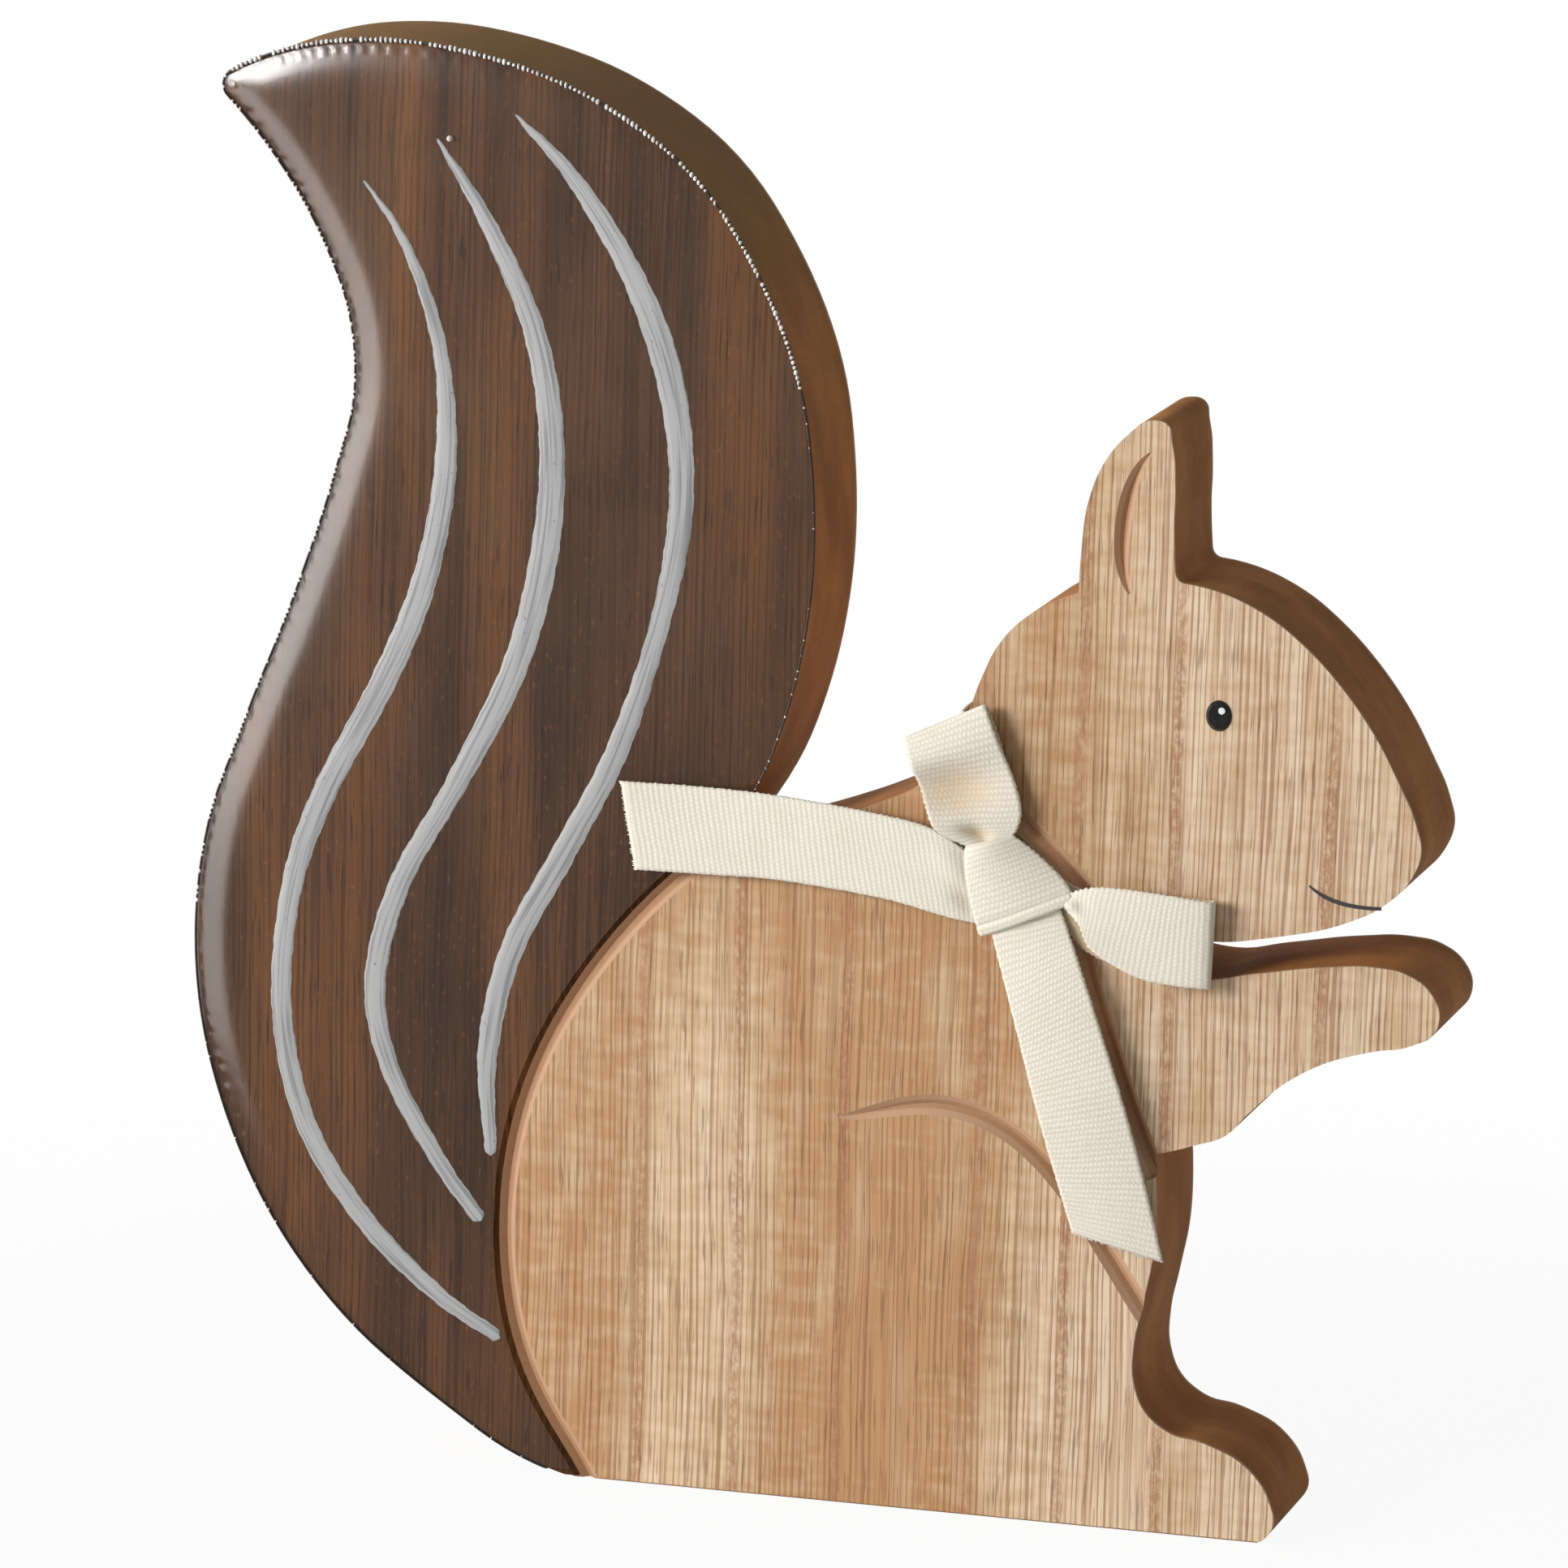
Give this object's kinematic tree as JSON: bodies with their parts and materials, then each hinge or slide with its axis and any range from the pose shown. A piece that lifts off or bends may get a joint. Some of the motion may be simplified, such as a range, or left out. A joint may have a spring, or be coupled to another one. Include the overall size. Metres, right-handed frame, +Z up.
{
  "type": "squirrel figurine",
  "caption": "Flat free-standing wooden squirrel ornament with carved grooves, a dark resin-coated striped tail and a cream cotton ribbon tied in a bow at its neck",
  "frame": {"origin": "middle of the flat base, half way through the board", "axes": "X to the figure's right as seen from the front, Y from the front to the back, Z up"},
  "size_m": [0.1593, 0.0256, 0.18],
  "materials": {
    "fibreboard": "smooth lacquered edge",
    "veneer": "satin lacquer",
    "stained_veneer": "dark stain",
    "clear_resin": "clear gloss",
    "grey_paint": "brushed paint",
    "black_paint": "gloss paint",
    "white_paint": "gloss paint",
    "cotton_tape": "ribbed weave"
  },
  "bodies": {
    "root": {"core_board": "fibreboard", "tail_veneer": "stained_veneer", "body_veneer": "veneer", "head_veneer": "veneer", "arm_veneer": "veneer", "back_veneer": "veneer", "resin_coat": "clear_resin", "stripe_outer": "grey_paint", "stripe_middle": "grey_paint", "stripe_inner": "grey_paint", "eye": "black_paint", "mouth_line": "black_paint", "eye_glint": "white_paint", "ribbon_neck_band": "cotton_tape", "ribbon_knot": "cotton_tape", "ribbon_upper_loop": "cotton_tape", "ribbon_right_loop": "cotton_tape", "ribbon_left_tail": "cotton_tape", "ribbon_lower_tail": "cotton_tape"}
  },
  "joints": []
}
